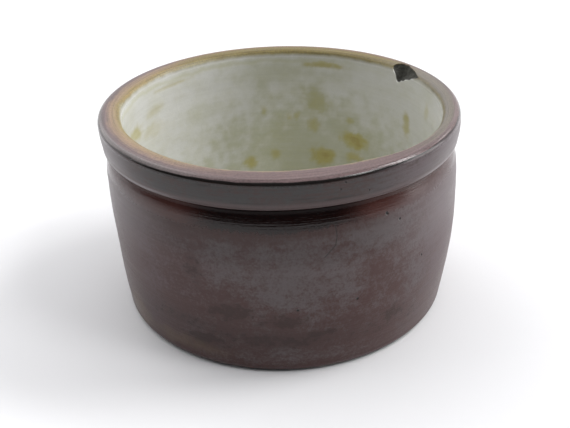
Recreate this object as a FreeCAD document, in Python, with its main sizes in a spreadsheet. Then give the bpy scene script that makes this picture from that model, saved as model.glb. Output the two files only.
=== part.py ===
"""Open stoneware fermenting crock: fired clay body, outer slip glaze, rim wash and liner glaze.

Millimetres, +Z up, origin at the centre of the foot that the crock stands on.
"""
import FreeCAD, Part

import math
import os

import Sketcher

OUT = "parts"

DIMENSIONS = (
    # clay, outside
    ("foot_radius", 70.5),        # clay wall where the rounded foot corner ends
    ("foot_round", 4.0),          # foot corner
    ("wall_curve", 300.0),        # radius of the slow belly curve of the wall
    ("shoulder_radius", 73.7),    # top of the wall, where the shoulder turns in under the collar
    ("shoulder_height", 62.5),
    ("shoulder_curve", 28.0),
    ("neck_radius", 70.8),        # bottom of the groove under the collar
    ("neck_height", 73.7),
    ("collar_low_radius", 73.9),
    ("collar_bottom", 74.9),
    ("collar_curve", 28.0),       # slight bulge of the collar's face
    ("rim_radius", 74.6),
    ("rim_round", 1.8),           # outer arris of the rim
    ("clay_height", 86.1),
    # clay, inside
    ("lip_round", 2.2),           # inner arris of the rim
    ("mouth_radius", 66.8),       # straight upper part of the inside
    ("taper_start", 50.0),        # height where the inside starts to close in
    ("inside_curve", 220.0),
    ("low_radius", 64.4),         # inside wall where the floor corner starts
    ("floor_round", 9.5),
    ("floor_thick", 8.0),
    # coats
    ("glaze", 0.4),               # thickness of every coat
    ("glaze_stop", 45.0),         # degrees down the foot corner where the outer glaze ends
    # chip broken out of the inner arris
    ("chip_bearing", 36.5),       # degrees round from +X to the chip's broad end
    ("chip_half_angle", 7.0),     # half of the chip's angle round the rim
    ("chip_length", 17.6),
    ("chip_broad", 5.8),          # radius at the broad end
    ("chip_below_rim", 0.6),      # how far the chip's axis runs below the clay's top
)


def fill_sheet(doc):
    """Write the driving dimensions, one alias a row."""
    sheet = doc.addObject("Spreadsheet::Sheet", "sizes")
    for row, (alias, value) in enumerate(DIMENSIONS, start=1):
        sheet.set(f"A{row}", alias)
        sheet.set(f"B{row}", str(value))
        sheet.setAlias(f"B{row}", alias)
    doc.recompute()
    return sheet


def size(text):
    """Expression text in which every alias is read from the sheet."""
    for alias, _ in DIMENSIONS:
        text = text.replace("{" + alias + "}", "sizes." + alias)
    return text


def arc_between(start, end, radius, turn):
    """Arc from start to end with its centre left (+1) or right (-1) of the way along."""
    chord = end - start
    side = FreeCAD.Vector(-chord.y, chord.x, 0).normalize()
    rise = math.sqrt(radius ** 2 - chord.Length ** 2 / 4)
    centre = (start + end) / 2 + side * rise * turn
    first, last = (start, end) if turn > 0 else (end, start)
    angles = [math.atan2(p.y - centre.y, p.x - centre.x) for p in (first, last)]
    circle = Part.Circle(centre, FreeCAD.Vector(0, 0, 1), radius)
    return Part.ArcOfCircle(circle, angles[0], angles[1])


def draw_outline(body, name, corners):
    """Closed half section in the body's XZ plane, fully constrained from the sheet.

    Each corner is (across, up, curve). across and up are expressions, or None on the axis.
    curve is None for a straight edge to the next corner, or (radius, turn) for an arc.
    """
    sketch = body.newObject("Sketcher::SketchObject", name)
    plane = next(f for f in body.Origin.OriginFeatures if f.Role == "XZ_Plane")
    sketch.AttachmentSupport = [(plane, "")]
    sketch.MapMode = "FlatFace"

    def value(expression):
        if expression is None:
            return 0.0
        result = sketch.evalExpression(size(expression))
        return float(getattr(result, "Value", result))

    def bind(constraint, label, expression):
        index = sketch.addConstraint(constraint)
        sketch.renameConstraint(index, label)
        sketch.setExpression("Constraints." + label, size(expression))

    points = [FreeCAD.Vector(value(across), value(up), 0) for across, up, _ in corners]
    ends = []
    for index, (_, _, curve) in enumerate(corners):
        start = points[index]
        end = points[(index + 1) % len(points)]
        if curve is None:
            sketch.addGeometry(Part.LineSegment(start, end))
            ends.append((1, 2))
        else:
            sketch.addGeometry(arc_between(start, end, value(curve[0]), curve[1]))
            ends.append((1, 2) if curve[1] > 0 else (2, 1))
    for index, (across, up, curve) in enumerate(corners):
        start = ends[index][0]
        sketch.addConstraint(Sketcher.Constraint("Coincident", index - 1 if index else len(points) - 1,
                                                 ends[index - 1][1], index, start))
        if across is None:
            sketch.addConstraint(Sketcher.Constraint("PointOnObject", index, start, -2))
        else:
            distance = Sketcher.Constraint("DistanceX", -1, 1, index, start, points[index].x)
            bind(distance, f"across_{index}", across)
        if up is None:
            sketch.addConstraint(Sketcher.Constraint("PointOnObject", index, start, -1))
        else:
            distance = Sketcher.Constraint("DistanceY", -1, 1, index, start, points[index].y)
            bind(distance, f"up_{index}", up)
        if curve is not None:
            bind(Sketcher.Constraint("Radius", index, value(curve[0])), f"curve_{index}", curve[0])
    return sketch


def turned(doc, name, corners):
    """Body turned about +Z from a closed half section."""
    body = doc.addObject("PartDesign::Body", name)
    sketch = draw_outline(body, name + "_section", corners)
    turning = body.newObject("PartDesign::Revolution", name + "_turning")
    turning.Profile = sketch
    turning.ReferenceAxis = (sketch, ["V_Axis"])
    turning.Angle = 360.0
    sketch.Visibility = False
    return body


def outside(coat):
    """Outside of the wall from the foot corner up to the rim, a coat's thickness off the clay."""
    return [
        (f"{{foot_radius}} + {coat}", "{foot_round}", ("{wall_curve}", 1)),
        (f"{{shoulder_radius}} + {coat}", "{shoulder_height}", ("{shoulder_curve}", 1)),
        (f"{{neck_radius}} + {coat}", "{neck_height}", None),
        (f"{{collar_low_radius}} + {coat}", "{collar_bottom}", ("{collar_curve}", 1)),
        (f"{{rim_radius}} + {coat}", "{clay_height} - {rim_round}", (f"{{rim_round}} + {coat}", 1)),
        ("{rim_radius} - {rim_round}", f"{{clay_height}} + {coat}", None),
    ]


def inside(coat):
    """Inside of the wall from the rim down to the middle of the floor, a coat's thickness off."""
    return [
        ("{mouth_radius} + {lip_round}", f"{{clay_height}} + {coat}", (f"{{lip_round}} + {coat}", 1)),
        (f"{{mouth_radius}} - {coat}", "{clay_height} - {lip_round}", None),
        (f"{{mouth_radius}} - {coat}", "{taper_start}", ("{inside_curve}", -1)),
        (f"{{low_radius}} - {coat}", "{floor_thick} + {floor_round}", (f"{{floor_round}} - {coat}", -1)),
        ("{low_radius} - {floor_round}", f"{{floor_thick}} + {coat}", None),
        (None, f"{{floor_thick}} + {coat}", None),
    ]


def backwards(corners):
    """The same run of corners drawn the other way, with each arc's turn reversed."""
    curves = [curve for _, _, curve in corners[:-1]][::-1] + [None]
    flipped = [curve and (curve[0], -curve[1]) for curve in curves]
    return [(across, up, curve) for (across, up, _), curve in zip(corners[::-1], flipped)]


def foot_stop(coat):
    """Point on the foot corner's arc where the outer glaze ends."""
    reach = f"({{foot_round}} + {coat})"
    across = f"{{foot_radius}} - {{foot_round}} + {reach} * cos({{glaze_stop}} * 1 deg)"
    up = f"{{foot_round}} - {reach} * sin({{glaze_stop}} * 1 deg)"
    return (across, up, (f"{{foot_round}} + {coat}", 1))


def clay_section():
    foot = [
        (None, None, None),
        ("{foot_radius} - {foot_round}", None, ("{foot_round}", 1)),
    ]
    return foot + outside("0") + inside("0")


def coat_section(skin, clay):
    """Closed section of a coat: its skin one way and the clay it covers the other way."""
    return skin + backwards(clay)


def wash_section():
    inner = "{mouth_radius} + {lip_round}"
    outer = "{rim_radius} - {rim_round}"
    return [
        (inner, "{clay_height}", None),
        (outer, "{clay_height}", None),
        (outer, "{clay_height} + {glaze}", None),
        (inner, "{clay_height} + {glaze}", None),
    ]


def chip_tool(doc):
    """Tapering scoop along the rim's inner arris, broad at one end, lying along a chord."""
    tool = doc.addObject("Part::Cone", "chip_tool")
    tool.setExpression("Radius1", size("{chip_broad}"))
    tool.Radius2 = 0.0
    tool.setExpression("Height", size("{chip_length}"))
    bearing = "{chip_bearing} * 1 deg"
    tool.setExpression("Placement.Base.x", size(f"{{mouth_radius}} * cos({bearing})"))
    tool.setExpression("Placement.Base.y", size(f"{{mouth_radius}} * sin({bearing})"))
    tool.setExpression("Placement.Base.z", size("{clay_height} - {chip_below_rim}"))
    along = "{chip_bearing} - {chip_half_angle} - 90"
    tool.setExpression("Placement.Rotation.Axis.x", size(f"-sin(({along}) * 1 deg)"))
    tool.setExpression("Placement.Rotation.Axis.y", size(f"cos(({along}) * 1 deg)"))
    tool.setExpression("Placement.Rotation.Axis.z", "0")
    tool.setExpression("Placement.Rotation.Angle", "90")
    return tool


def chipped(doc, label, body, tool):
    """The body with the chip taken out of it."""
    cut = doc.addObject("Part::Cut", label)
    cut.Base = body
    cut.Tool = tool
    return cut


def check(doc, nodes, before):
    """Stop if anything failed to build, or if the chip took nothing away."""
    for item in doc.Objects:
        if "Invalid" in item.State or "Error" in item.State:
            raise RuntimeError(f"{item.Name} failed: {item.State}")
    for node in nodes:
        shape = node.Shape
        if shape.isNull() or not shape.isValid() or len(shape.Solids) != 1:
            raise RuntimeError(f"{node.Label} is not one valid solid")
        lost = before.get(node.Label, shape.Volume + 1) - shape.Volume
        if lost <= 0:
            raise RuntimeError(f"{node.Label} was not cut by the chip")
        print(f"{node.Label}: {shape.Volume / 1000:.2f} cm3, box {shape.BoundBox}")


def main():
    doc = FreeCAD.newDocument("crock")
    fill_sheet(doc)
    glaze = "{glaze}"
    clay = turned(doc, "clay_turned", clay_section())
    outer_clay = [foot_stop("0")] + outside("0")
    outer_skin = [foot_stop(glaze)] + outside(glaze)
    outer = turned(doc, "outer_glaze", coat_section(outer_skin, outer_clay))
    liner = turned(doc, "liner_turned", coat_section(inside(glaze), inside("0")))
    wash = turned(doc, "wash_turned", wash_section())
    doc.recompute()

    tool = chip_tool(doc)
    doc.recompute()
    nodes = [outer]
    before = {}
    for label, body in (("clay_body", clay), ("liner_glaze", liner), ("rim_wash", wash)):
        nodes.append(chipped(doc, label, body, tool))
        before[label] = body.Shape.Volume
    doc.recompute()
    check(doc, nodes, before)
    os.makedirs(OUT, exist_ok=True)
    for node in nodes:
        node.Shape.exportStep(os.path.join(OUT, node.Label + ".step"))


main()
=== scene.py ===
"""Looks of an open stoneware fermenting crock: thrown skins, a broken chip, glazes, a plain studio.

Lengths are in millimetres inside this script and in metres in Blender. Bearings are degrees from +X
towards +Y, and heights are above the table. Colours are linear.
"""
import math

import bmesh
import bpy
import numpy as np
from mathutils import Matrix, Vector, noise


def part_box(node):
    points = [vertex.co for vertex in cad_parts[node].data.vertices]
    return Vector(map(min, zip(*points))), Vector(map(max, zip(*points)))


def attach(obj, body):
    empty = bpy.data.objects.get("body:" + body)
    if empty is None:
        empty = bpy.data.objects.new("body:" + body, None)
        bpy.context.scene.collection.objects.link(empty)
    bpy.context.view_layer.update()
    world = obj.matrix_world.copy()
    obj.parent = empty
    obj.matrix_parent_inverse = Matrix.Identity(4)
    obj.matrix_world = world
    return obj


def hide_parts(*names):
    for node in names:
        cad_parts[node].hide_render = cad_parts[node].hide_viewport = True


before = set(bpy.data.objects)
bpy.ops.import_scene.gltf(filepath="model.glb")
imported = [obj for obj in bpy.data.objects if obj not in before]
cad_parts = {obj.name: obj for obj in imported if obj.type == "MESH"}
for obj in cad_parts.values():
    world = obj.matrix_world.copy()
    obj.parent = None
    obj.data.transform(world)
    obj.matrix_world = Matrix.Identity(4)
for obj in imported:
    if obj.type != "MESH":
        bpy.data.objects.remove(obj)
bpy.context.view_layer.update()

MM = 0.001
STEPS_ROUND = 500              # facets round the crock
CLAY_COARSE = 1.8              # how much wider apart points lie on the clay than on a coat's skin
BACK_COARSE = 3.0              # the same on the back of a coat


def top_of(node):
    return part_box(node)[1].z / MM


def reach_of(node):
    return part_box(node)[1].x / MM


# Sizes read from the frame
HEIGHT = top_of("rim_wash")
CLAY_TOP = top_of("clay_body")
COAT = HEIGHT - CLAY_TOP
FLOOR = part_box("liner_glaze")[0].z / MM
WASH_OUTER = reach_of("rim_wash")

# The crock's own proportions, as the frame was turned
FOOT_RADIUS = 70.5
FOOT_ROUND = 4.0
WALL_CURVE = 300.0
SHOULDER_RADIUS = 73.7
SHOULDER_HEIGHT = 62.5
SHOULDER_CURVE = 28.0
NECK_RADIUS = 70.8
NECK_HEIGHT = 73.7
COLLAR_LOW_RADIUS = 73.9
COLLAR_BOTTOM = 74.9
COLLAR_CURVE = 28.0
RIM_RADIUS = 74.6
RIM_ROUND = 1.8
LIP_ROUND = 2.2
MOUTH_RADIUS = 66.8
TAPER_START = 50.0
INSIDE_CURVE = 220.0
LOW_RADIUS = 64.4
FLOOR_ROUND = 9.5

# Details that only the looks have
COLLAR_ARRIS = 0.7             # rounding of the collar's lower edge
UNDERCUT_SLOPE = 0.39          # rise of the collar's underside for each mm outwards
FACE_SLOPE = 0.07              # lean of the collar's face for each mm up
BEAD = 0.14                    # thin raised line on the neck just under the collar
BEAD_HEIGHT = 72.9
BEAD_WIDTH = 0.35


# ---------------------------------------------------------------- sections
def arc_between(start, end, radius, turn, steps):
    """Points from start up to, and without, end on an arc with its centre left (+1) or right (-1)."""
    (x0, y0), (x1, y1) = start, end
    chord = math.hypot(x1 - x0, y1 - y0)
    rise = math.sqrt(radius ** 2 - chord ** 2 / 4) * turn
    centre_x = (x0 + x1) / 2 - (y1 - y0) / chord * rise
    centre_y = (y0 + y1) / 2 + (x1 - x0) / chord * rise
    first = math.atan2(y0 - centre_y, x0 - centre_x)
    sweep = math.atan2(y1 - centre_y, x1 - centre_x) - first
    sweep = (sweep + math.pi) % (2 * math.pi) - math.pi
    angles = [first + sweep * k / steps for k in range(steps)]
    return [(centre_x + radius * math.cos(a), centre_y + radius * math.sin(a)) for a in angles]


def trace(corners, coarse=1.0):
    """Points along corners (across, up, curve, spacing); curve is None or (radius, turn)."""
    points = []
    for (x0, y0, curve, spacing), (x1, y1, *_) in zip(corners, corners[1:]):
        steps = max(1, round(math.hypot(x1 - x0, y1 - y0) / (spacing * coarse)))
        if curve is None:
            points += [(x0 + (x1 - x0) * k / steps, y0 + (y1 - y0) * k / steps) for k in range(steps)]
        else:
            points += arc_between((x0, y0), (x1, y1), *curve, max(steps, 3))
    return points + [corners[-1][:2]]


def foot_stop(coat):
    """Where the outer glaze ends, 45 degrees round the foot corner."""
    reach = (FOOT_ROUND + coat) * math.sqrt(0.5)
    return (FOOT_RADIUS - FOOT_ROUND + reach, FOOT_ROUND - reach, (FOOT_ROUND + coat, 1), 0.5)


def outside(coat, arris=0.02):
    """Foot corner to rim; arris rounds the collar's lower edge."""
    edge = COLLAR_LOW_RADIUS + coat
    return [
        (FOOT_RADIUS + coat, FOOT_ROUND, (WALL_CURVE, 1), 0.9),
        (SHOULDER_RADIUS + coat, SHOULDER_HEIGHT, (SHOULDER_CURVE, 1), 0.35),
        (NECK_RADIUS + coat, NECK_HEIGHT, None, 0.6),
        (edge - arris, COLLAR_BOTTOM - arris * UNDERCUT_SLOPE, (arris, 1), 0.15),
        (edge + arris * FACE_SLOPE, COLLAR_BOTTOM + arris, (COLLAR_CURVE, 1), 0.5),
        (RIM_RADIUS + coat, CLAY_TOP - RIM_ROUND, (RIM_ROUND + coat, 1), 0.3),
        (RIM_RADIUS - RIM_ROUND, CLAY_TOP + coat, None, 0.5),
    ]


def inside(coat):
    """Rim to the middle of the floor."""
    return [
        (MOUTH_RADIUS + LIP_ROUND, CLAY_TOP + coat, (LIP_ROUND + coat, 1), 0.3),
        (MOUTH_RADIUS - coat, CLAY_TOP - LIP_ROUND, None, 0.8),
        (MOUTH_RADIUS - coat, TAPER_START, (INSIDE_CURVE, -1), 1.0),
        (LOW_RADIUS - coat, FLOOR + FLOOR_ROUND, (FLOOR_ROUND - coat, -1), 1.0),
        (LOW_RADIUS - FLOOR_ROUND, FLOOR + coat, None, 2.0),
        (0.0, FLOOR + coat, None, 2.0),
    ]


# ---------------------------------------------------------------- meshes
LINE_PITCH = 2.6               # height of a finger line
HOLLOW_PITCH = 16.0            # height of a broad hollow
LINE_TURNS = 0.6               # how fast a line changes round the crock
HOLLOW_TURNS = 2.4
PLAIN_EDGE = 1.5               # height at the foot and the rim that has no ridges
EDGE_FADE = 6.0                # height over which they grow from there


def ridges(points, fine, broad):
    """Offset in mm of the rings and hollows that a thrower's fingers leave, mostly inwards."""
    offsets = []
    for x, y, z in points:
        reach = max(math.hypot(x, y), 1.0)
        turn_x, turn_y = x / reach, y / reach
        lines = noise.noise(Vector((turn_x * LINE_TURNS, turn_y * LINE_TURNS, z / LINE_PITCH + 5.0)))
        hollows = noise.noise(Vector((turn_x * HOLLOW_TURNS, turn_y * HOLLOW_TURNS, z / HOLLOW_PITCH + 11.0)))
        offsets.append(fine * (lines - 0.5) + broad * (hollows - 0.5))
    return np.array(offsets)


def turned(name, hidden, seen, closed, fine=0.0, broad=0.0):
    """Closed mesh turned about +Z from a hidden and a seen line, ridged where it is seen.

    A closed section makes a ring; an open one starts and ends on the axis.
    """
    section = np.array(hidden + seen)
    hidden_rings = len(hidden)
    if not closed:
        section = section[1:-1]
        hidden_rings -= 1
    bearings = np.linspace(0, 2 * math.pi, STEPS_ROUND, endpoint=False)
    across, up = section[:, 0][:, None], section[:, 1][:, None]
    grid = np.stack([across * np.cos(bearings), across * np.sin(bearings),
                     up + np.zeros(STEPS_ROUND)], axis=2)
    skin = grid[hidden_rings:]
    offset = ridges(skin.reshape(-1, 3), fine, broad).reshape(skin.shape[:2])
    fade = np.clip((HEIGHT - PLAIN_EDGE - skin[:, :, 2]) / EDGE_FADE, 0, 1)
    fade *= np.clip((skin[:, :, 2] - PLAIN_EDGE) / EDGE_FADE, 0, 1)
    scale = 1 + offset * fade / np.maximum(np.hypot(skin[:, :, 0], skin[:, :, 1]), 1.0)
    grid[hidden_rings:, :, :2] *= scale[:, :, None]
    return solid(name, grid.reshape(-1, 3), joined(len(section), STEPS_ROUND, closed))


def joined(rings, size, closed):
    """Faces between rings of points, each joined to the next: closed on itself, or capped at both ends."""
    faces = []
    for ring in range(rings if closed else rings - 1):
        first, second = ring * size, (ring + 1) % rings * size
        for k in range(size):
            after = (k + 1) % size
            faces.append((first + k, first + after, second + after, second + k))
    if not closed:
        faces.append(tuple(range(size))[::-1])
        faces.append(tuple((rings - 1) * size + k for k in range(size)))
    return faces


def solid(name, points, faces):
    """Mesh object from points in mm, with its faces turned outwards."""
    mesh = bpy.data.meshes.new(name)
    mesh.from_pydata((np.array(points) * MM).tolist(), [], faces)
    mesh.update()
    piece = bpy.data.objects.new(name, mesh)
    bpy.context.scene.collection.objects.link(piece)
    edges = bmesh.new()
    edges.from_mesh(mesh)
    bmesh.ops.recalc_face_normals(edges, faces=edges.faces)
    edges.to_mesh(mesh)
    edges.free()
    return piece


def on_wall(bearing, across, height):
    """Place at a bearing, a distance from the axis and a height."""
    turn = math.radians(bearing)
    return np.array((across * math.cos(turn), across * math.sin(turn), height))


def points_of(mesh):
    """Places of the mesh's points in mm."""
    flat = np.empty(len(mesh.vertices) * 3)
    mesh.vertices.foreach_get("co", flat)
    return flat.reshape(-1, 3) / MM


def smooth(piece, angle=math.radians(35)):
    """Smooth shading, with an edge kept where the faces meet at more than the angle."""
    piece.data.shade_smooth()
    edges = bmesh.new()
    edges.from_mesh(piece.data)
    for edge in edges.edges:
        edge.smooth = len(edge.link_faces) == 2 and edge.calc_face_angle() < angle
    edges.to_mesh(piece.data)
    edges.free()


# ---------------------------------------------------------------- chip
CHIP = (                       # bearing, how far out on the rim it reaches, how far down the wall
    (20.0, 65.8, -0.6), (22.5, 67.0, 0.8), (26.0, 68.8, 3.4), (30.0, 70.6, 5.4), (33.0, 71.8, 7.2),
    (34.6, 72.0, 8.0), (35.8, 71.6, 5.6), (37.0, 70.0, 2.0), (38.0, 66.0, -0.6),
)
CHIP_SCOOP = 0.8               # hollow of the broken face
CHIP_OPEN = 6.0                # air taken in above the rim and towards the mouth
CHIP_PAST_LINER = 0.3          # how far the scoop starts inside the liner's skin
CHIP_ABOVE = 0.1               # how far above the rim it starts
CHIP_LUMPS = ((2.2, 0.45), (0.8, 0.14))      # size of a lump and how far it stands out
CHIP_RINGS, CHIP_STEPS = 56, 16


def crumple(place):
    """Shift for a place, of up to about 1 each way, that changes smoothly from place to place."""
    return Vector([noise.noise(place + Vector((shift, 0, 0))) for shift in (0.0, 17.3, 41.9)])


def chip_tool():
    """Rough scoop that fills the chip and the air before it."""
    points = []
    bearings, reaches, depths = zip(*CHIP)
    wall = MOUTH_RADIUS - COAT - CHIP_PAST_LINER
    top = HEIGHT + CHIP_OPEN
    for bearing in np.linspace(bearings[0], bearings[-1], CHIP_RINGS):
        reach = np.interp(bearing, bearings, reaches)
        low = HEIGHT - np.interp(bearing, bearings, depths)
        profile = [(wall - CHIP_OPEN, low), (wall - CHIP_OPEN, top), (reach, top)]
        for k in range(CHIP_STEPS + 1):
            part = k / CHIP_STEPS
            scoop = CHIP_SCOOP * math.sin(math.pi * part)
            across = reach + (wall - reach) * part + scoop
            profile.append((across, HEIGHT + CHIP_ABOVE + (low - HEIGHT) * part - scoop))
        for across, up in profile:
            point = Vector(on_wall(bearing, across, up))
            points.append(sum((crumple(point / wide) * high for wide, high in CHIP_LUMPS), point))
    return solid("chip_tool", points, joined(CHIP_RINGS, len(profile), closed=False))


def cut_away(piece, tool):
    """Takes the tool's solid out of the piece."""
    cut = piece.modifiers.new("chip", "BOOLEAN")
    cut.operation = "DIFFERENCE"
    cut.solver = "MANIFOLD"
    cut.object = tool
    chipped = bmesh.new()
    chipped.from_object(piece, bpy.context.evaluated_depsgraph_get())
    piece.modifiers.clear()
    chipped.to_mesh(piece.data)
    chipped.free()


# ---------------------------------------------------------------- unevenness of the thrown crock
DRIFT = (                      # height, and how far the axis has wandered along +X there
    (0.0, 0.2), (12.0, 0.5), (30.0, 1.0), (40.0, 0.9), (50.0, 0.6), (60.0, 0.5), (70.0, -0.1), (77.0, 0.1),
    (82.0, 0.0), (86.0, -0.3),
)
RIM_SQUEEZE = 0.003            # share by which the rim is narrower along X
SQUEEZE_FROM, SQUEEZE_TO = 66, 76            # heights over which it grows
CROWN_DROP = 0.25              # how far the rim's edges lie below its middle
CROWN_HALF = 4                 # half of the rim's width
CROWN_FROM, CROWN_TO = 80, 86
LIP_LEAN = (                   # bearing, and how far the rim's inner edge leans into the mouth there
    (-180.0, 0.5), (-150.0, 1.6), (-130.0, 1.8), (-112.0, 1.3), (-95.0, 1.9), (-78.0, 2.1), (-62.0, 1.2),
    (-50.0, -0.9), (-38.0, -1.8), (-25.0, -1.9), (0.0, -1.0), (20.0, -0.2), (40.0, 0.1), (100.0, 0.4),
    (180.0, 0.5),
)
LEAN_ACROSS = 5.0              # width of rim over which the lean grows
LEAN_FROM, LEAN_TO = 70, 84


def uneven(points):
    """Every point moved as throwing and drying left it: rim crowned and oval, axis drifted, lip leaning."""
    moved = points.copy()
    across = np.hypot(points[:, 0], points[:, 1])
    height = points[:, 2]

    def grown(low, high):
        return np.clip((height - low) / (high - low), 0, 1)

    crown = (RIM_RADIUS + MOUTH_RADIUS) / 2
    edge = np.clip(np.abs(across - crown) / CROWN_HALF, 0, 1)
    moved[:, 2] -= CROWN_DROP * edge ** 2 * grown(CROWN_FROM, CROWN_TO)
    moved[:, 0] *= 1 - RIM_SQUEEZE * grown(SQUEEZE_FROM, SQUEEZE_TO)
    moved[:, 0] += np.interp(height, *zip(*DRIFT))
    bearing = np.degrees(np.arctan2(points[:, 1], points[:, 0]))
    lean = np.interp(bearing, *zip(*LIP_LEAN))
    lean *= np.clip((WASH_OUTER - across) / LEAN_ACROSS, 0, 1) * grown(LEAN_FROM, LEAN_TO)
    moved[:, :2] *= 1 - (lean / np.maximum(across, 1))[:, None]
    return moved


def settle(piece):
    """Keeps each point's thrown place for the materials, then moves it to its uneven one."""
    mesh = piece.data
    points = points_of(mesh)
    place = mesh.attributes.new("thrown", "FLOAT_VECTOR", "POINT")
    place.data.foreach_set("vector", points.ravel())
    mesh.vertices.foreach_set("co", (uneven(points) * MM).ravel())
    mesh.update()


# ---------------------------------------------------------------- marks painted on the points
RAGGED_SIZE = 5.0              # size of the bays in a mark's edge
MARK_EDGE = 1.25               # where a mark ends, in half widths


def on_skin(bearing, height):
    """Place on the outer glaze."""
    skin = np.array(trace([foot_stop(COAT)] + outside(COAT)))
    return on_wall(bearing, np.interp(height, skin[:, 1], skin[:, 0]), height)


def paint(piece, layer, across, marks, ragged):
    """Float on each point: the strongest of soft marks there, with ragged edges.

    A mark is (bearing, height, half width, half height, strength).
    """
    points = points_of(piece.data)
    stir = np.array([noise.fractal(Vector(point) / RAGGED_SIZE, 0.8, 2.0, 4) for point in points]) * ragged
    value = np.zeros(len(points))
    for bearing, height, wide, tall, strength in marks:
        apart = points - on_wall(bearing, across, height)
        far = np.sqrt(((apart[:, 0] ** 2 + apart[:, 1] ** 2) / wide ** 2) + (apart[:, 2] / tall) ** 2) + stir
        soft = np.clip(MARK_EDGE - far, 0, 1)
        value = np.maximum(value, strength * soft * soft * (3 - 2 * soft))
    mark = piece.data.attributes.new(layer, "FLOAT", "POINT")
    mark.data.foreach_set("value", value)


# ---------------------------------------------------------------- materials
class Look:
    """One node material, built on the thrown place of each point. Inputs are numbers or outputs."""

    def __init__(self, name):
        self.material = bpy.data.materials.new(name)
        self.material.use_nodes = True
        self.tree = self.material.node_tree
        self.shader = self.tree.nodes["Principled BSDF"]
        self.place = self.attribute("thrown", "Vector")
        self.x, self.y, self.height = (self.add("SeparateXYZ", self.place, output=k) for k in range(3))
        self.across = self.maths("SQRT", self.plus(self.times(self.x, self.x), self.times(self.y, self.y)))

    def attribute(self, name, kind="Fac"):
        node = self.tree.nodes.new("ShaderNodeAttribute")
        node.attribute_name = name
        return node.outputs[kind]

    def feed(self, socket, value):
        if isinstance(value, bpy.types.NodeSocket):
            self.tree.links.new(value, socket)
        elif value is not None:
            socket.default_value = value

    def add(self, kind, *values, output=0, **settings):
        """Output of a new node whose first inputs are the values; None leaves an input as it is."""
        node = self.tree.nodes.new("ShaderNode" + kind)
        for setting, value in settings.items():
            setattr(node, setting, value)
        for socket, value in zip(node.inputs, values):
            self.feed(socket, value)
        return node.outputs[output]

    def maths(self, operation, *values):
        return self.add("Math", *values, operation=operation)

    def plus(self, first, *others):
        for other in others:
            first = self.maths("ADD", first, other)
        return first

    def minus(self, first, second):
        return self.maths("SUBTRACT", first, second)

    def times(self, first, *others):
        for other in others:
            first = self.maths("MULTIPLY", first, other)
        return first

    def swing(self, value, amount):
        """A noise's difference from its middle, times an amount."""
        return self.times(self.minus(value, 0.5), amount)

    def strongest(self, *values):
        first = values[0]
        for value in values[1:]:
            first = self.maths("MAXIMUM", first, value)
        return first

    def rise(self, value, low, high):
        """0 before low, 1 after high, smooth between."""
        return self.add("MapRange", value, low, high, 0.0, 1.0, interpolation_type="SMOOTHSTEP")

    def hump(self, value, centre, half):
        """1 at centre, 0 beyond half on each side."""
        return self.rise(self.maths("ABSOLUTE", self.minus(value, centre)), half, 0.0)

    def facing(self, bearing, low, high):
        """Rises as a place turns towards the bearing; low and high are cosines."""
        turn = math.radians(bearing)
        along = self.plus(self.times(self.x, math.cos(turn)), self.times(self.y, math.sin(turn)))
        return self.rise(self.maths("DIVIDE", along, self.across), low, high)

    def noise(self, size, detail=2.0, rough=0.5, shift=0.0):
        """Noise with features of about size mm; three sizes stretch it along X, Y and Z."""
        sizes = size if isinstance(size, tuple) else (size, size, size)
        scaled = self.add("VectorMath", self.place, tuple(1 / s for s in sizes), operation="MULTIPLY")
        shifted = self.add("VectorMath", scaled, (shift, shift, shift), operation="ADD")
        return self.add("TexNoise", shifted, None, 1.0, detail, rough)

    def mix(self, amount, first, second, blend="MIX"):
        node = self.tree.nodes.new("ShaderNodeMix")
        node.data_type = "RGBA"
        node.blend_type = blend
        self.feed(node.inputs[0], amount)
        for socket, value in ((node.inputs[6], first), (node.inputs[7], second)):
            self.feed(socket, (*value, 1) if isinstance(value, tuple) else value)
        return node.outputs[2]

    def shade(self, colour, value):
        """Colour multiplied by a number that differs over the surface."""
        return self.mix(1.0, colour, self.add("CombineColor", value, value, value), "MULTIPLY")

    def ramp(self, value, low, high, *stops):
        """Colours at the given values between low and high."""
        node = self.tree.nodes.new("ShaderNodeValToRGB")
        self.feed(node.inputs[0], self.add("MapRange", value, low, high, 0.0, 1.0))
        elements = node.color_ramp.elements
        places = [(place - low) / (high - low) for place, _ in stops]
        for place in places[2:]:
            elements.new(place)
        for element, place in zip(elements, places):
            element.position = place
        for element, (_, colour) in zip(sorted(elements, key=lambda item: item.position), stops):
            element.color = (*colour, 1)
        return node.outputs[0]

    def specks(self, size, radius, share):
        """Round specks of about radius mm in a share of the cells of size mm."""
        place = self.add("VectorMath", self.place, (1 / size,) * 3, operation="MULTIPLY")
        cells = self.tree.nodes.new("ShaderNodeTexVoronoi")
        self.feed(cells.inputs["Vector"], place)
        chosen = self.maths("LESS_THAN", self.add("SeparateColor", cells.outputs["Color"]), share)
        near = self.rise(cells.outputs["Distance"], radius / size, radius / size * 0.4)
        return self.times(near, chosen)

    def spot(self, place, radius):
        """Round mark about a place."""
        far = self.add("VectorMath", self.place, tuple(place), operation="DISTANCE", output=1)
        return self.rise(far, radius, radius * 0.4)

    def scratch(self, width, *ends):
        """Thin line through places on the surface."""
        lines = []
        for start, last in zip(ends, ends[1:]):
            along = last - start
            apart = self.add("VectorMath", self.place, tuple(start), operation="SUBTRACT")
            share = tuple(along / along.dot(along))
            part = self.add("VectorMath", apart, share, operation="DOT_PRODUCT", output=1)
            part = self.maths("MINIMUM", self.maths("MAXIMUM", part, 0.0), 1.0)
            nearest = self.add("VectorMath", tuple(along), None, None, part, operation="SCALE")
            far = self.add("VectorMath", apart, nearest, operation="DISTANCE", output=1)
            lines.append(self.rise(far, width, width * 0.3))
        return self.strongest(*lines)

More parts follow.
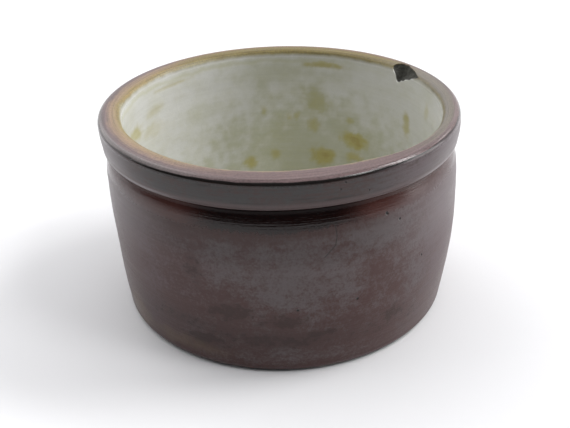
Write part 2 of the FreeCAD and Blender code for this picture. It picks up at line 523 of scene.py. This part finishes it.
    def finish(self, colour, roughness, bump_mm):
        """The material, with a bump given as a height in mm."""
        self.feed(self.shader.inputs["Base Color"], colour)
        self.feed(self.shader.inputs["Roughness"], roughness)
        bump = self.tree.nodes.new("ShaderNodeBump")
        bump.inputs["Strength"].default_value = 1.0
        bump.inputs["Distance"].default_value = MM
        self.feed(bump.inputs["Height"], bump_mm)
        self.feed(self.shader.inputs["Normal"], bump.outputs[0])
        return self.material


# Colours of the rim
CREAM = (0.50, 0.45, 0.27)
OCHRE = (0.43, 0.31, 0.09)
TAN = (0.46, 0.32, 0.165)
PEACH = (0.46, 0.31, 0.205)
MAUVE = (0.25, 0.17, 0.17)
PINK = (0.235, 0.145, 0.142)
SLATE = (0.25, 0.205, 0.20)
LICHEN = (0.29, 0.25, 0.20)
AMBER = (0.30, 0.24, 0.10)
BACK_TAN = (0.36, 0.22, 0.13)
BACK_CREAM = (0.47, 0.39, 0.13)
BACK_OCHRE = (0.29, 0.21, 0.042)
# Black of the arris line, which is partly painted dark reflection, and of the pits and the hairline
ARRIS_BLACK = (0.006, 0.004, 0.003)

RIM_FROM, RIM_TO = 65, 76      # radii that the rim's colours run between
RIM_FRONT = ((67.3, CREAM), (68.0, TAN), (69.0, PINK), (72.0, PINK), (74.4, MAUVE))      # radius, colour
RIM_SIDES = (                  # bearing, cosines between which the side takes over, colours at their radii
    (155, -0.35, 0.45, ((66.4, CREAM), (67.4, OCHRE), (68.8, TAN), (70.2, PEACH), (72.0, MAUVE),
                        (74.0, SLATE))),
    (12, 0.35, 0.85, ((66.3, CREAM), (67.0, AMBER), (68.0, LICHEN), (71.4, LICHEN), (73.2, MAUVE),
                      (74.6, PINK))),
    (84, 0.45, 0.85, ((66.0, BACK_CREAM), (68.2, BACK_OCHRE), (70.4, BACK_OCHRE), (72.0, BACK_TAN),
                      (74.6, MAUVE))),
)
RIM_WANDER, RIM_BROKEN = 2.4, 1.4            # how far the colours' edges stray


def rim_colour(look):
    """Colour of the wiped rim, which changes across it and with bearing, and the rings brushed into it."""
    across = look.plus(look.across, look.swing(look.noise(9.0, 3.0), RIM_WANDER),
                       look.swing(look.noise(1.3, 2.0, shift=3.0), RIM_BROKEN))
    colour = look.ramp(across, RIM_FROM, RIM_TO, *RIM_FRONT)
    for bearing, low, high, stops in RIM_SIDES:
        side = look.ramp(across, RIM_FROM, RIM_TO, *stops)
        colour = look.mix(look.facing(bearing, low, high), colour, side)
    grain = look.rise(look.noise(0.8, 3.0, 0.7), 0.3, 0.7)
    drawn = look.add("CombineXYZ", look.times(look.across, 2.2), look.times(look.x, 0.03),
                     look.times(look.y, 0.03))
    rings = look.rise(look.add("TexNoise", drawn, None, 1.0, 3.0, 0.6), 0.35, 0.65)
    return look.shade(colour, look.plus(0.31, look.times(grain, 0.22), look.times(rings, 0.20))), rings


# Colours of the slip
BODY_RED = (0.054, 0.019, 0.016)
BODY_HAZE = (0.092, 0.073, 0.073)
BODY_MAUVE = (0.094, 0.063, 0.069)
# Pale of a painted sheen, on the wall's and the collar's left and right
BODY_SHEEN = (0.17, 0.145, 0.15)
# Hazy mauve of the collar's sides, partly painted sheen; also the scuff's colour
COLLAR_HAZE = (0.080, 0.058, 0.062)
COLLAR_BROWN = (0.046, 0.025, 0.022)
COLLAR_SLATE = (0.036, 0.033, 0.032)
# Lighter red of the collar's lower edge: partly its redder glaze, partly a painted highlight
LIP_RED_SHEEN = (0.080, 0.051, 0.050)
# Pale painted glint at the left and right of the collar's lower edge
LIP_GLINT = (0.26, 0.235, 0.24)
RUST = (0.026, 0.006, 0.003)
LOW_OCHRE = (0.13, 0.085, 0.045)
# Black of the slip under the collar, partly painted shade there; the smudges use it too
NECK_BLACK = (0.006, 0.001, 0.0005)
NECK_RED = (0.060, 0.022, 0.018)
NECK_RUST = (0.028, 0.008, 0.005)

SATIN_IOR = 1.42
NECK_DARK_FROM = 65.3             # height where the dark band under the collar starts: pooled black slip, and painted shade there
PITS = (                       # bearing, height, radius
    (-58.8, 66.3, 0.9), (-54.5, 62.4, 0.7), (-69.0, 33.3, 0.8), (-87.0, 32.0, 0.7), (-44.6, 41.4, 0.6),
    (-74.0, 81.5, 0.5), (-72.5, 84.0, 0.5), (-65.6, 78.8, 0.5), (-137.0, 85.6, 0.5), (100.0, 40.0, 0.7),
)
HAIRLINE = ((-75.2, 66.9), (-75.0, 62.6), (-75.6, 58.7), (-78.7, 54.4))      # bearing, height
SCUFF = ((-32.6, 48.0), (-28.0, 48.8), (-24.0, 49.6), (-21.0, 50.2))
LINE_WIDTH = 0.4


class Slip(Look):
    """The outside's material. From the collar on, each colour method lays one thing over what it is given."""

    def __init__(self, name):
        super().__init__(name)
        self.cloud = self.noise((11.0, 11.0, 8.0), 5.0, 0.6)
        self.bands = self.noise((70.0, 70.0, 2.2), 3.0, 0.6)
        self.lines = self.noise((40.0, 40.0, 0.5), 2.0, 0.6, shift=9.0)
        self.grain = self.noise(0.9, 3.0, 0.7)
        self.mottle = self.noise((2.4, 2.4, 2.0), 5.0, 0.7, shift=2.0)
        self.haze = self.plus(self.attribute("haze"), self.swing(self.cloud, 1.7),
                              self.swing(self.bands, 0.5), self.swing(self.mottle, 2.0),
                              self.swing(self.grain, 1.6))
        streaks = self.noise((1.1, 1.1, 9.0), 3.0, 0.7, shift=4.0)
        self.ragged = self.plus(self.height, self.swing(streaks, 3.6), self.swing(self.grain, 2.2),
                                self.swing(self.cloud, 3.0), self.facing(-112, 0.72, 0.95))
        # Band under the collar: slip pooled there, and painted shade under the collar
        self.pooled_and_shaded = self.times(self.rise(self.ragged, NECK_DARK_FROM, NECK_DARK_FROM + 2.2),
                                 self.rise(self.height, COLLAR_BOTTOM + 0.1, COLLAR_BOTTOM - 0.3))
        self.pits = self.strongest(*(self.spot(on_skin(bearing, up), size) for bearing, up, size in PITS),
                                   self.specks(7.0, 0.5, 0.22))

    def body(self):
        """Red slip under a haze that is greyer in front: partly the glaze's own haze, partly a painted
        reflection of the pale floor.
        """
        # Painted reflection: greyer haze in front, mauve at the sides
        haze_and_sheen = self.mix(self.facing(-82, 0.62, 0.94), BODY_MAUVE, BODY_HAZE)
        return self.mix(self.rise(self.haze, -0.2, 1.0), BODY_RED, haze_and_sheen)

    def collar(self, colour):
        """Brown and slate smears on the collar, with a painted sheen that makes it paler at its left and
        right.
        """
        brushed = self.noise((14.0, 14.0, 0.7), 4.0, 0.65, shift=7.0)
        smeared = self.plus(self.times(brushed, 0.9), self.times(self.cloud, 0.9), self.mottle)
        # Painted sheen: hazier and paler at the collar's sides, darker slate in front
        slate_and_sheen = self.mix(self.facing(-100, 0.60, 0.95), COLLAR_HAZE, COLLAR_SLATE)
        on_collar = self.rise(self.height, COLLAR_BOTTOM - 0.3, COLLAR_BOTTOM + 0.6)
        colour = self.mix(on_collar, colour, self.mix(self.rise(smeared, 1.12, 1.52), COLLAR_BROWN, slate_and_sheen))
        # Painted sheen: pale at the collar's left and right
        pale = self.strongest(self.facing(-8, 0.76, 1.0), self.facing(-168, 0.84, 1.0))
        return self.mix(self.times(pale, on_collar, 0.6), colour, BODY_SHEEN)

    def painted(self, colour):
        """Black smudges, rust and the ochre by the foot, where they are painted on the points."""
        colour = self.mix(self.attribute("smudge"), colour, NECK_BLACK)
        rust = self.plus(self.attribute("rust"), self.swing(self.grain, 0.7), self.swing(self.mottle, 2.4))
        colour = self.mix(self.times(self.rise(rust, 0.28, 0.72), 0.9), colour, RUST)
        return self.mix(self.attribute("low_ochre"), colour, LOW_OCHRE)

    def neck(self, colour):
        """Band under the collar, black in front, with a rusty edge below it: partly pooled slip and partly
        painted shade, darkest in front.
        """
        bleed = self.times(self.rise(self.ragged, NECK_DARK_FROM - 5.5, NECK_DARK_FROM + 1.0),
                           self.facing(-100, 0.55, 0.95),
                           self.rise(self.height, COLLAR_BOTTOM, COLLAR_BOTTOM - 0.3))
        # Painted shade, partly rust: a darker rusty edge below the band, strongest in front
        colour = self.mix(self.times(bleed, 0.7), colour, NECK_RUST)
        # Painted shade over the pooled slip: strongest and black in front, red-brown at the sides
        strength = self.plus(0.3, self.times(self.facing(-90, 0.4, 0.9), 0.7))
        slip = self.mix(self.facing(-92, 0.86, 0.965), NECK_RED, NECK_BLACK)
        return self.mix(self.times(self.pooled_and_shaded, strength), colour, slip)

    def lip(self, colour):
        """Collar's lower edge, redder than its face with a painted highlight, and a pale painted glint at the
        left and right.
        """
        # Painted highlight: a lighter red band along the collar's lower edge
        edge = self.hump(self.height, COLLAR_BOTTOM + 1.1, 1.9)
        colour = self.mix(self.times(edge, 0.8), colour, LIP_RED_SHEEN)
        # Painted glint: pale where the lower edge turns to the left and right
        lip_glint = self.strongest(self.facing(-160, 0.70, 0.96), self.facing(-18, 0.80, 0.98))
        lip_glint = self.times(lip_glint, self.hump(self.height, COLLAR_BOTTOM + 0.6, 0.9), 0.9)
        return self.mix(lip_glint, colour, LIP_GLINT)

    def rim(self, colour):
        """Wiped rim's outer edge, and the black line on the arris below it, thickest in front: partly dark
        glaze, partly painted dark reflection.
        """
        lifted = self.plus(self.height, self.swing(self.noise(9.0, 3.0), 0.7))
        wiped, _ = rim_colour(self)
        colour = self.mix(self.rise(lifted, HEIGHT - 0.85, HEIGHT - 0.5), colour, wiped)
        # Painted dark reflection over a thin dark glaze line on the arris, lower and stronger in front
        below = self.minus(HEIGHT - 1.25, self.times(self.facing(-98, 0.72, 0.95), 1.1))
        arris = self.times(self.rise(lifted, below, HEIGHT - 1.0),
                           self.rise(lifted, HEIGHT - 0.5, HEIGHT - 0.8))
        strength = self.plus(0.55, self.times(self.facing(-90, 0.4, 0.9), 0.45))
        return self.mix(self.times(arris, strength), colour, ARRIS_BLACK)

    def painted_sheen(self, colour):
        """Pale painted sheen high on the wall at the left and right."""
        # Painted reflection of the pale backdrop at the wall's left and right
        sides = self.strongest(self.facing(-14, 0.6, 1.0), self.facing(-166, 0.7, 1.0))
        sheen = self.times(sides, self.rise(self.height, 36.0, 60.0),
                           self.rise(self.height, 72.0, 64.0), 0.55)
        return self.mix(sheen, colour, BODY_SHEEN)

    def flaws(self, colour):
        """Pits, a hairline crack and a scuff."""
        colour = self.mix(self.pits, colour, ARRIS_BLACK)
        hairline = self.scratch(LINE_WIDTH, *(on_skin(*place) for place in HAIRLINE))
        colour = self.mix(self.times(hairline, 0.7), colour, ARRIS_BLACK)
        scuff = self.scratch(LINE_WIDTH, *(on_skin(*place) for place in SCUFF))
        return self.mix(self.times(scuff, 0.35), colour, COLLAR_HAZE)

    def shaded(self, colour):
        """Bands, lines and grain in the colour's value, with two darker belts in front."""
        dusk = self.plus(self.times(self.hump(self.height, 58.0, 11.0), self.facing(-98, 0.45, 1.0)),
                         self.times(self.hump(self.height, 17.0, 14.0), self.facing(-108, 0.6, 1.0), 0.8))
        value = self.plus(0.54, self.times(self.bands, 0.2), self.times(self.lines, 0.1),
                          self.times(self.grain, 0.36), self.times(self.mottle, 0.2))
        return self.shade(colour, self.minus(value, self.times(dusk, 0.25)))

    def roughness(self):
        """Satin, duller in the haze and glossier in the slip gathered under the collar and on the arris."""
        rough = self.plus(0.26, self.times(self.rise(self.haze, -0.3, 1.1), 0.12),
                          self.times(self.grain, 0.14))
        under_bead = self.rise(self.height, BEAD_HEIGHT - 0.8, BEAD_HEIGHT - 1.6)
        on_arris = self.rise(self.height, HEIGHT - 3.0, HEIGHT - 1.2)
        glossy = self.plus(self.times(self.pooled_and_shaded, under_bead, 0.24), self.times(on_arris, 0.18))
        return self.minus(rough, glossy)

    def bump(self):
        """Brush lines and bands, grain, and the pits sunk in."""
        return self.plus(self.times(self.lines, 0.05), self.times(self.grain, 0.05),
                         self.times(self.bands, 0.08), self.times(self.pits, -0.25))


def brown_slip():
    look = Slip("brown_slip_glaze")
    colour = look.body()
    for layer in (look.collar, look.painted, look.neck, look.lip, look.rim, look.painted_sheen, look.flaws,
                  look.shaded):
        colour = layer(colour)
    look.shader.inputs["IOR"].default_value = SATIN_IOR
    return look.finish(colour, look.roughness(), look.bump())


def wiped_wash():
    look = Look("wiped_rim_wash")
    colour, rings = rim_colour(look)
    grain = look.noise(0.7, 3.0, 0.7)
    look.shader.inputs["IOR"].default_value = SATIN_IOR
    return look.finish(colour, look.plus(0.34, look.times(grain, 0.2)),
                       look.plus(look.times(rings, 0.03), look.times(grain, 0.05)))


# Colours of the liner
LINER_WHITE = (0.67, 0.67, 0.65)
# Darker olive of painted shade, deep inside and on the back wall
LINER_OLIVE_SHADE = (0.455, 0.46, 0.325)
STAIN = (0.42, 0.36, 0.08)
STAIN_DARK = (0.30, 0.22, 0.045)
RING = (0.46, 0.45, 0.22)

RING_HEIGHT = HEIGHT - 5.0     # faint ring left by what the crock once held
GLOSS_IOR = 1.55


def pale_liner():
    look = Look("pale_liner_glaze")
    cloud = look.noise((14.0, 14.0, 10.0), 4.0, 0.6)
    wash = look.noise((30.0, 30.0, 5.0), 4.0, 0.6, shift=6.0)
    grain = look.noise(0.9, 3.0, 0.7)
    # Painted shade: darker olive deep inside the crock and on its back wall
    olive_shade = look.plus(look.attribute("olive_shade"), look.swing(cloud, 0.7), look.swing(wash, 0.5))
    colour = look.mix(look.rise(olive_shade, -0.35, 1.15), LINER_WHITE, LINER_OLIVE_SHADE)
    stain = look.plus(look.attribute("stain"), look.swing(grain, 0.2), look.swing(cloud, 0.5))
    colour = look.mix(look.times(look.rise(stain, -0.1, 0.9), 0.85), colour, STAIN)
    colour = look.mix(look.rise(stain, 0.9, 1.2), colour, STAIN_DARK)
    wobbling = look.plus(look.height, look.swing(look.noise((8.0, 8.0, 30.0), 3.0), 4.0))
    ring = look.times(look.hump(wobbling, RING_HEIGHT, 1.8), look.facing(140, -0.2, 0.6))
    colour = look.mix(look.times(ring, 0.3), colour, RING)
    rim, _ = rim_colour(look)
    edge = look.plus(look.height, look.swing(look.noise(6.0, 3.0), 1.2))
    colour = look.mix(look.rise(edge, HEIGHT - 3.0, HEIGHT - 0.9), colour, rim)
    streaks = look.noise((50.0, 50.0, 1.2), 2.0)
    colour = look.shade(colour, look.plus(0.86, look.times(streaks, 0.1), look.times(grain, 0.12)))
    by_rim = look.times(look.rise(look.height, HEIGHT - 4.0, HEIGHT - 1.5), 0.2)
    rough = look.plus(0.16, look.times(grain, 0.14), by_rim)
    bump = look.plus(look.times(wash, 0.12), look.times(grain, 0.03), look.times(cloud, 0.3))
    look.shader.inputs["IOR"].default_value = GLOSS_IOR
    return look.finish(colour, rough, bump)


CLAY_DARK = (0.028, 0.028, 0.022)
CLAY_GREY = (0.10, 0.098, 0.085)
CLAY_GRIT = (0.22, 0.20, 0.16)


def fired_clay():
    look = Look("stoneware_clay")
    grit = look.noise(0.7, 4.0, 0.75)
    lumps = look.noise(2.4, 3.0, 0.6)
    colour = look.mix(look.rise(grit, 0.3, 0.75), CLAY_DARK, CLAY_GREY)
    colour = look.mix(look.specks(1.6, 0.35, 0.3), colour, CLAY_GRIT)
    return look.finish(colour, look.plus(0.75, look.times(grit, 0.2)),
                       look.plus(look.times(grit, 0.25), look.times(lumps, 0.35)))


# ---------------------------------------------------------------- pieces
def clay_piece():
    foot = [(FOOT_RADIUS - FOOT_ROUND, 0.0, (FOOT_ROUND, 1), 0.6)]
    section = [(0.0, 0.0)] + trace(foot + outside(0.0) + inside(0.0), CLAY_COARSE)
    return turned("clay_body_fired", section[:-1], section[-1:], closed=False)


def outer_piece():
    hidden = trace([foot_stop(0.0)] + outside(0.0), BACK_COARSE)[::-1]
    seen = trace([foot_stop(COAT)] + outside(COAT, COLLAR_ARRIS))
    seen = [(across + BEAD * math.exp(-((up - BEAD_HEIGHT) / BEAD_WIDTH) ** 2), up) for across, up in seen]
    return turned("outer_slip_glaze", hidden, seen, closed=True, fine=0.04, broad=0.16)


def liner_piece():
    hidden = [(0.0, FLOOR)] + trace(inside(0.0), BACK_COARSE)[::-1][1:]
    return turned("liner_glaze_coat", hidden, trace(inside(COAT)), closed=False, fine=0.06, broad=0.3)


def wash_piece():
    inner = MOUTH_RADIUS + LIP_ROUND
    hidden = [(inner, CLAY_TOP), (WASH_OUTER, CLAY_TOP)]
    seen = trace([(WASH_OUTER, HEIGHT, None, 0.4), (inner, HEIGHT)])
    return turned("rim_wash_coat", hidden, seen, closed=True)


# Marks: bearing, height, half width, half height, strength
STAIN_MARKS = (
    (70.5, 79.6, 11.0, 2.4, 0.8), (57.2, 42.2, 8.0, 5.5, 1.0), (72.0, 31.6, 8.5, 6.0, 0.95),
    (74.0, 60.0, 8.0, 8.0, 0.3), (140.0, 79.0, 14.0, 1.2, 0.4), (153.0, 62.0, 14.0, 5.0, 0.25),
    (56.3, 33.3, 6.0, 3.5, 0.7), (76.0, 48.0, 5.0, 4.5, 0.5), (86.2, 51.8, 2.2, 2.6, 0.45),
    (83.2, 52.5, 2.2, 2.6, 0.45), (59.2, 52.5, 2.4, 2.4, 0.35), (105.0, 28.0, 5.0, 4.0, 0.7),
    (93.3, 31.3, 3.4, 3.4, 0.45), (97.4, 56.0, 2.0, 3.0, 0.35), (166.0, 66.0, 9.0, 4.5, 0.55),
    (28.5, 60.0, 3.2, 7.5, 0.6), (13.0, 72.7, 3.0, 5.0, 0.35), (150.0, 70.0, 9.0, 3.0, 0.3),
)
# Painted shade: olive darkening deep inside and on the back wall
OLIVE_SHADE_MARKS = (
    (74.0, 60.0, 9.0, 11.0, 0.9), (78.0, 34.0, 62.0, 34.0, 0.8), (97.4, 68.8, 5.0, 6.0, 0.6),
    (88.0, 76.0, 34.0, 8.0, 0.5), (125.0, 60.0, 16.0, 6.0, 0.35), (-90.0, 20.0, 60.0, 14.0, 0.5),
)
# Haze marks: partly the glaze's own haze, partly painted reflection of the pale floor, most of them in front
HAZE_MARKS = (
    (-107.0, 58.0, 9.0, 5.0, 0.7), (-64.0, 60.0, 15.0, 6.0, 0.9), (-83.0, 61.0, 10.0, 4.0, 0.55),
    (-150.0, 56.0, 16.0, 9.0, 0.5), (-109.0, 50.0, 11.0, 14.0, 0.5), (-86.0, 46.0, 26.0, 18.0, 0.75),
    (-60.0, 60.0, 30.0, 12.0, 0.6), (-140.0, 50.0, 26.0, 26.0, 0.25), (-35.0, 45.0, 30.0, 28.0, 0.6),
    (60.0, 45.0, 60.0, 24.0, 0.5), (140.0, 40.0, 50.0, 20.0, 0.5), (-90.0, 9.0, 40.0, 5.0, 0.25),
)
RUST_MARKS = (
    (-118.0, 46.0, 5.0, 7.0, 0.6), (-107.0, 29.5, 11.0, 5.0, 0.75), (-116.0, 13.0, 12.0, 5.0, 0.8),
    (-55.0, 20.0, 7.0, 5.0, 0.7), (-91.0, 26.0, 12.0, 5.0, 0.65), (-80.0, 19.0, 9.0, 3.0, 0.7),
    (-93.0, 17.0, 34.0, 4.0, 0.6), (-125.0, 20.0, 26.0, 5.0, 0.4), (-60.0, 15.0, 26.0, 4.0, 0.4),
    (30.0, 25.0, 20.0, 8.0, 0.5), (110.0, 28.0, 30.0, 7.0, 0.6), (175.0, 22.0, 24.0, 7.0, 0.5),
)
SMUDGE_MARKS = (
    (-111.0, 83.6, 3.0, 0.5, 0.7), (-96.0, 81.4, 0.7, 1.2, 0.8), (-98.0, 77.5, 9.0, 0.35, 0.5),
    (-75.0, 77.8, 12.0, 0.4, 0.6), (-84.0, 79.0, 7.0, 0.3, 0.4), (-60.0, 77.4, 7.0, 0.35, 0.45),
    (-120.0, 84.2, 5.0, 0.6, 0.5), (-45.0, 84.3, 6.0, 0.4, 0.3), (100.0, 80.0, 6.0, 0.5, 0.4),
)
LOW_OCHRE_MARKS = (
    (-150.0, 10.0, 12.0, 9.0, 0.5), (-125.0, 8.0, 22.0, 4.5, 0.4), (120.0, 8.0, 30.0, 5.0, 0.4),
)

clay, outer, liner, wash = clay_piece(), outer_piece(), liner_piece(), wash_piece()
chip = chip_tool()
for piece in (clay, liner, wash):
    cut_away(piece, chip)
bpy.data.objects.remove(chip)
paint(outer, "haze", SHOULDER_RADIUS, HAZE_MARKS, 0.35)
paint(outer, "rust", SHOULDER_RADIUS, RUST_MARKS, 0.5)
paint(outer, "smudge", COLLAR_LOW_RADIUS, SMUDGE_MARKS, 0.4)
paint(outer, "low_ochre", SHOULDER_RADIUS, LOW_OCHRE_MARKS, 0.4)
paint(liner, "stain", MOUTH_RADIUS, STAIN_MARKS, 0.35)
paint(liner, "olive_shade", MOUTH_RADIUS, OLIVE_SHADE_MARKS, 0.35)

for piece, node, slot, material in (
    (clay, "clay_body", "stoneware_clay", fired_clay()),
    (outer, "outer_glaze", "brown_slip_glaze", brown_slip()),
    (wash, "rim_wash", "wiped_rim_wash", wiped_wash()),
    (liner, "liner_glaze", "pale_liner_glaze", pale_liner()),
):
    piece.data.materials.clear()
    piece.data.materials.append(material)
    settle(piece)
    smooth(piece)
    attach(piece, "root")
    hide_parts(node)


# ---------------------------------------------------------------- studio
ELEVATION, ROLL = math.radians(29.0), math.radians(1.64)       # of the camera, as the outlines were fitted
DISTANCE, SHIFT_RIGHT, DROP = 354.0, 1.1, 47.4                 # from the camera to the middle of the rim
LENS = 53.6


def camera():
    forward = Vector((0, math.cos(ELEVATION), -math.sin(ELEVATION)))
    up = Vector((0, math.sin(ELEVATION), math.cos(ELEVATION)))
    right = Vector((1, 0, 0))
    place = Vector((SHIFT_RIGHT, 0, HEIGHT)) - forward * DISTANCE - up * DROP
    turned_right = right * math.cos(ROLL) - up * math.sin(ROLL)
    turned_up = right * math.sin(ROLL) + up * math.cos(ROLL)
    data = bpy.data.cameras.new("camera")
    data.lens = LENS
    data.clip_start = 0.01
    item = bpy.data.objects.new("camera", data)
    rotation = Matrix((turned_right, turned_up, -forward)).transposed().to_4x4()
    item.matrix_world = Matrix.Translation(place * MM) @ rotation
    bpy.context.scene.collection.objects.link(item)
    bpy.context.scene.camera = item


SUNS = (                       # name, bearing, elevation, width in degrees, strength
    ("window_right", 20, 45, 90, 0.25),
    ("window_bright_high", 20, 50, 14, 0.7),
    ("window_bright_low", 6, 39, 12, 0.6),
    ("window_bright_front", -24, 50, 16, 0.65),
    ("window_bright_end", 40, 27, 12, 0.15),
    ("card_right", 6, 14, 34, 1.05),
    ("window_left", 150, 38, 70, 1.2),
    ("top", 95, 75, 90, 0.65),
)


def sun(name, bearing, elevation, width, strength):
    data = bpy.data.lights.new(name, "SUN")
    data.energy = strength
    data.angle = math.radians(width)
    item = bpy.data.objects.new(name, data)
    towards = Vector(on_wall(bearing, math.cos(math.radians(elevation)), math.sin(math.radians(elevation))))
    item.rotation_euler = towards.to_track_quat("Z", "Y").to_euler()
    bpy.context.scene.collection.objects.link(item)


PAPER = (0.8, 0.8, 0.81, 1)
ROOM_LOW = (0.03, 0.03, 0.033, 1)
ROOM_MIDDLE = (0.08, 0.08, 0.085, 1)
ROOM_HIGH = (0.42, 0.42, 0.44, 1)
SEEN_WALL = (0.96, 0.96, 0.97, 1)            # what the camera itself sees past the floor
BACKDROP = 1.0                               # brightness of the pale wall behind the crock


def pale_floor():
    bpy.ops.mesh.primitive_plane_add(size=20)
    floor = bpy.context.object
    floor.name = "studio_floor"
    paper = bpy.data.materials.new("studio_floor")
    paper.use_nodes = True
    shader = paper.node_tree.nodes["Principled BSDF"]
    shader.inputs["Base Color"].default_value = PAPER
    shader.inputs["Roughness"].default_value = 0.9
    floor.data.materials.append(paper)


def dim_room():
    """World that lights softly from above and is pale where the camera looks past the floor."""
    world = bpy.data.worlds.new("studio")
    bpy.context.scene.world = world
    world.use_nodes = True
    tree = world.node_tree
    light = tree.nodes["Background"]
    place = tree.nodes.new("ShaderNodeTexCoord")
    axes = tree.nodes.new("ShaderNodeSeparateXYZ")
    tree.links.new(place.outputs["Generated"], axes.inputs[0])
    ramp = tree.nodes.new("ShaderNodeValToRGB")
    ramp.color_ramp.elements[0].color = ROOM_LOW
    ramp.color_ramp.elements[1].color = ROOM_HIGH
    ramp.color_ramp.elements.new(0.3).color = ROOM_MIDDLE
    tree.links.new(axes.outputs[2], ramp.inputs[0])
    behind = tree.nodes.new("ShaderNodeMapRange")
    behind.interpolation_type = "SMOOTHSTEP"
    behind.inputs["From Min"].default_value = 0.25
    behind.inputs["From Max"].default_value = 0.85
    behind.inputs["To Max"].default_value = BACKDROP
    tree.links.new(axes.outputs[1], behind.inputs["Value"])
    together = tree.nodes.new("ShaderNodeVectorMath")
    tree.links.new(ramp.outputs[0], together.inputs[0])
    tree.links.new(behind.outputs[0], together.inputs[1])
    tree.links.new(together.outputs[0], light.inputs["Color"])
    seen = tree.nodes.new("ShaderNodeBackground")
    seen.inputs["Color"].default_value = SEEN_WALL
    path = tree.nodes.new("ShaderNodeLightPath")
    choose = tree.nodes.new("ShaderNodeMixShader")
    tree.links.new(path.outputs["Is Camera Ray"], choose.inputs[0])
    tree.links.new(light.outputs[0], choose.inputs[1])
    tree.links.new(seen.outputs[0], choose.inputs[2])
    tree.links.new(choose.outputs[0], tree.nodes["World Output"].inputs[0])


def studio():
    bpy.context.scene.view_settings.view_transform = "Standard"
    dim_room()
    pale_floor()
    for values in SUNS:
        sun(*values)


camera()
studio()
